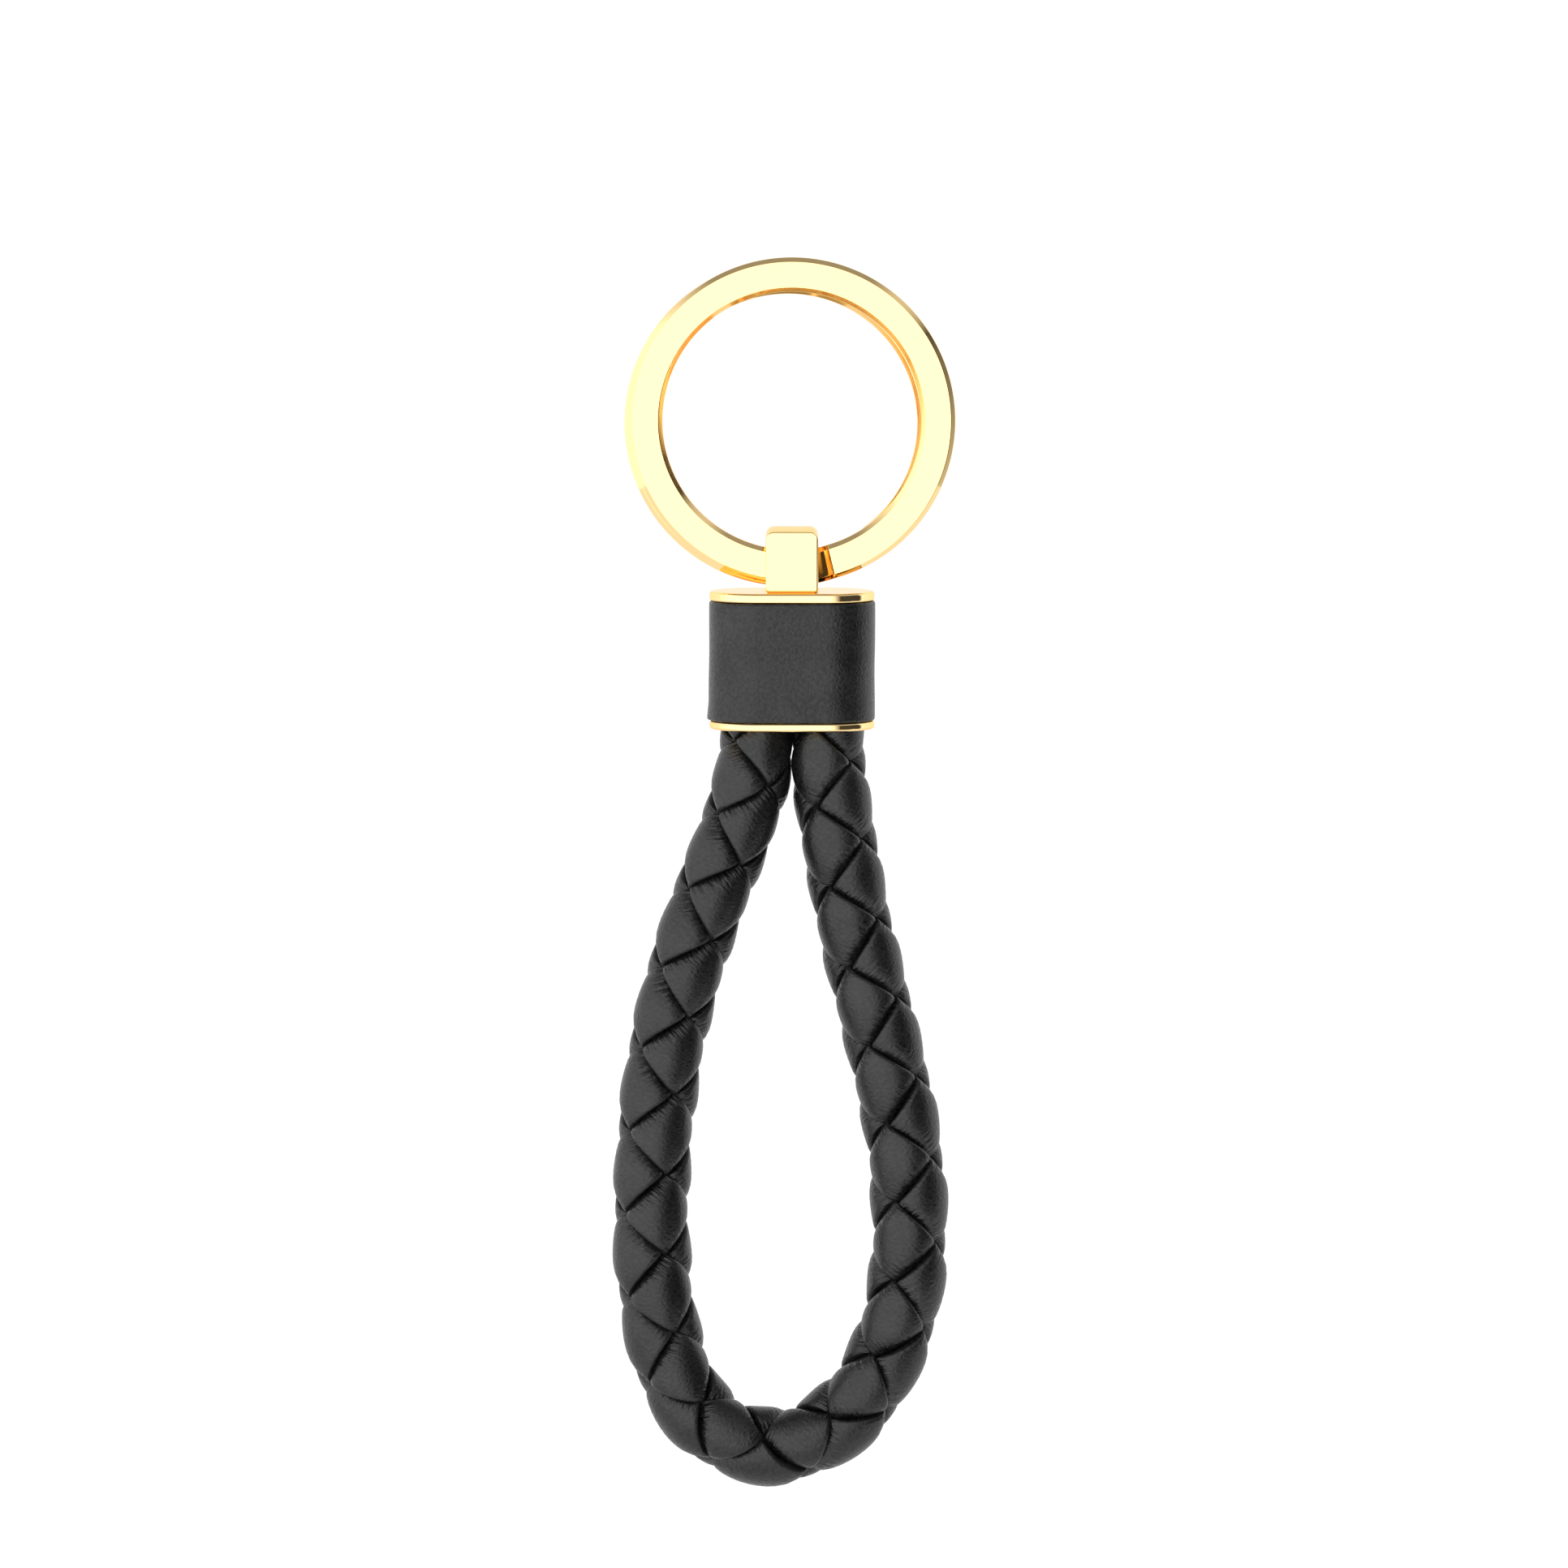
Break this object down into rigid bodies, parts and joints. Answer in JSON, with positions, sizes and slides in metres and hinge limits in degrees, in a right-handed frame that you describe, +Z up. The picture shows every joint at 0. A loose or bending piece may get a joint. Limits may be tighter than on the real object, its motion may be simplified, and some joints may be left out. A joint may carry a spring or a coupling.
{
  "type": "wristlet keychain",
  "caption": "Key ring with a braided leather hand loop: a split ring swings in a bail on a leather-wrapped collar that grips both ends of the braid.",
  "frame": {"origin": "top of the split ring's hole, on its inner face, where a hook or a finger carries the ring", "axes": "+Z up, from the braided loop towards the ring; the front face is towards -Y; +X to the viewer's right"},
  "size_m": [0.0347, 0.0098, 0.125],
  "materials": {
    "gold_plate": "polished yellow gold plate",
    "raw_brass": "plain drawn brass",
    "wrap_leather": "black calf leather, fine pebbled grain",
    "braid_leather": "soft black nappa leather, matt",
    "waxed_thread": "waxed thread, wound",
    "adhesive": "set amber adhesive"
  },
  "bodies": {
    "ring": {"split_ring": "gold_plate"},
    "collar": {"bail": "gold_plate", "top_cap": "gold_plate", "inner_sleeve": "raw_brass", "leather_wrap": "wrap_leather", "bottom_rim": "gold_plate", "cord_end_left": "braid_leather", "cord_end_right": "braid_leather", "whipping_left": "waxed_thread", "whipping_right": "waxed_thread", "glue_plug": "adhesive"},
    "loop": {"braided_loop": "braid_leather"}
  },
  "joints": [
    {"name": "ring_swing", "type": "hinge", "parent": "ring", "child": "collar", "pos_m": [0, 0, -0.02782], "axis": [1, 0, 0], "range_deg": [-100, 100]},
    {"name": "loop_flex", "type": "hinge", "parent": "collar", "child": "loop", "pos_m": [0, 0, -0.0479], "axis": [1, 0, 0], "range_deg": [-45, 45], "stiffness_Nm_per_rad": 0.002}
  ]
}
